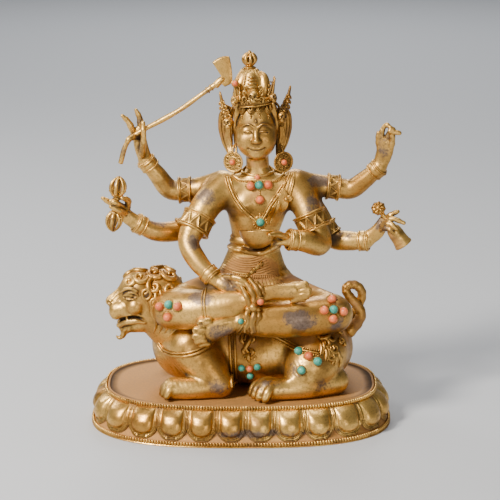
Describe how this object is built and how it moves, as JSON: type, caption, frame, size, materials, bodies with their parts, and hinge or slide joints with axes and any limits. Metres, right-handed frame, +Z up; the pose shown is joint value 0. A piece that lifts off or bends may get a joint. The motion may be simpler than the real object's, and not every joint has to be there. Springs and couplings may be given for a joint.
{
  "type": "gilt deity figure",
  "caption": "Gilt six-armed jnana dakini seated on a crouching lion, on an oval lotus plinth, with crown, axe, vajra, bell, skull cup and set coral and turquoise.",
  "frame": {"origin": "centre of the plinth's flat underside", "axes": "+Z up; the figure faces -Y; the lion's head is towards -X"},
  "size_m": [0.321, 0.202, 0.3739],
  "materials": {
    "gilt": "fire-gilt copper alloy, rubbed bright on the high places, brown in the hollows",
    "worn_gilt": "thin matte gilding with tan oxide and dark wear",
    "coral": "polished pink-orange coral cabochon",
    "turquoise": "polished blue-green turquoise cabochon"
  },
  "bodies": {
    "root": {"axe": "gilt", "bell": "gilt", "coral_breast": "coral", "coral_chest_left": "coral", "coral_chest_right": "coral", "coral_collar": "coral", "coral_crown": "coral", "coral_earring_left": "coral", "coral_earring_right": "coral", "coral_girth": "coral", "coral_knee_left_inner": "coral", "coral_knee_left_lower": "coral", "coral_knee_left_outer": "coral", "coral_knee_left_top": "coral", "coral_knee_right_inner": "coral", "coral_knee_right_lower": "coral", "coral_knee_right_outer": "coral", "coral_lap": "coral", "coral_rump": "coral", "crown": "gilt", "earring_left": "gilt", "earring_right": "gilt", "figure": "gilt", "knife_handle": "worn_gilt", "lion": "gilt", "plinth": "worn_gilt", "skull_cup": "gilt", "topknot_finial": "gilt", "turquoise_anklet": "turquoise", "turquoise_chest": "turquoise", "turquoise_girth_left": "turquoise", "turquoise_girth_low": "turquoise", "turquoise_girth_right": "turquoise", "turquoise_knee_left": "turquoise", "turquoise_knee_right": "turquoise", "turquoise_pendant": "turquoise", "turquoise_rump_low": "turquoise", "turquoise_rump_lower": "turquoise", "turquoise_rump_upper": "turquoise", "vajra": "gilt"}
  },
  "joints": []
}
